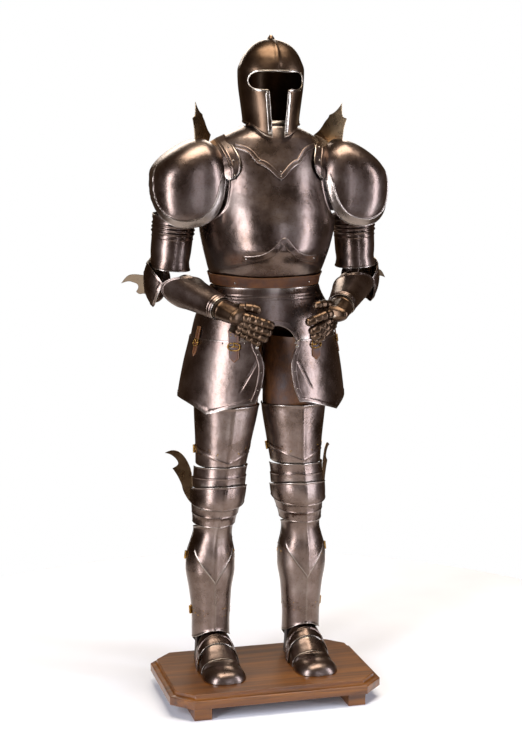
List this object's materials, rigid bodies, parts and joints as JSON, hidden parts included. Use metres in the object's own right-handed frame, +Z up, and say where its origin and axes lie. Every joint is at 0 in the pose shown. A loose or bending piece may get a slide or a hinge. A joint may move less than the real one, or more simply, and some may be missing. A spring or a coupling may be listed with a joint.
{
  "type": "suit of plate armour on a wooden plinth stand",
  "caption": "Full suit of plate armour with an open-faced helmet, horned elbow and knee guards and a pointed plate skirt, standing hollow on a low wooden plinth.",
  "frame": {"origin": "middle of the bounding box in plan, on the floor under the plinth", "axes": "+Z up, the suit faces -Y, +X is the wearer's left"},
  "size_m": [0.7824, 0.4574, 1.93],
  "materials": {
    "plate_steel": "polished mild steel plate, antiqued with a warm brown patina and worn bright at the edges",
    "dark_steel": "darker browned steel of the helmet, the forearm tubes and the gauntlets",
    "leather": "red-brown vegetable tanned leather, rubbed along the edges",
    "wood": "medium brown stained and waxed wood"
  },
  "bodies": {
    "root": {"plinth_board": "wood", "left_plinth_batten": "wood", "right_plinth_batten": "wood", "left_greave_front": "plate_steel", "right_greave_front": "plate_steel", "left_greave_back": "plate_steel", "right_greave_back": "plate_steel", "left_knee_cup": "plate_steel", "right_knee_cup": "plate_steel", "left_knee_lames_below": "plate_steel", "right_knee_lames_below": "plate_steel", "left_knee_lames_above": "plate_steel", "right_knee_lames_above": "plate_steel", "left_cuisse": "plate_steel", "right_cuisse": "plate_steel", "left_thigh_leather": "leather", "right_thigh_leather": "leather", "left_sabaton_forefoot": "plate_steel", "right_sabaton_forefoot": "plate_steel", "left_sabaton_lames": "plate_steel", "right_sabaton_lames": "plate_steel", "left_sabaton_toe": "plate_steel", "right_sabaton_toe": "plate_steel", "left_heel": "leather", "right_heel": "leather", "fauld_back": "plate_steel", "rump_plate": "plate_steel", "fauld_front": "plate_steel", "left_tasset": "plate_steel", "right_tasset": "plate_steel", "breastplate": "plate_steel", "backplate": "plate_steel", "belly_band": "plate_steel", "waist_belt": "leather", "gorget_back": "plate_steel", "gorget_front": "plate_steel", "neck_collar": "plate_steel", "helmet": "dark_steel", "left_pauldron": "plate_steel", "right_pauldron": "plate_steel", "left_pauldron_rear": "plate_steel", "right_pauldron_rear": "plate_steel", "left_pauldron_neck_lame": "plate_steel", "right_pauldron_neck_lame": "plate_steel", "left_pauldron_fin": "plate_steel", "right_pauldron_fin": "plate_steel", "left_rerebrace": "plate_steel", "right_rerebrace": "plate_steel", "left_couter": "plate_steel", "right_couter": "plate_steel", "left_vambrace": "dark_steel", "right_vambrace": "dark_steel", "left_gauntlet_cuff": "plate_steel", "right_gauntlet_cuff": "plate_steel", "left_gauntlet_hand": "dark_steel", "right_gauntlet_hand": "dark_steel", "left_tasset_strap": "leather", "right_tasset_strap": "leather"}
  },
  "joints": []
}
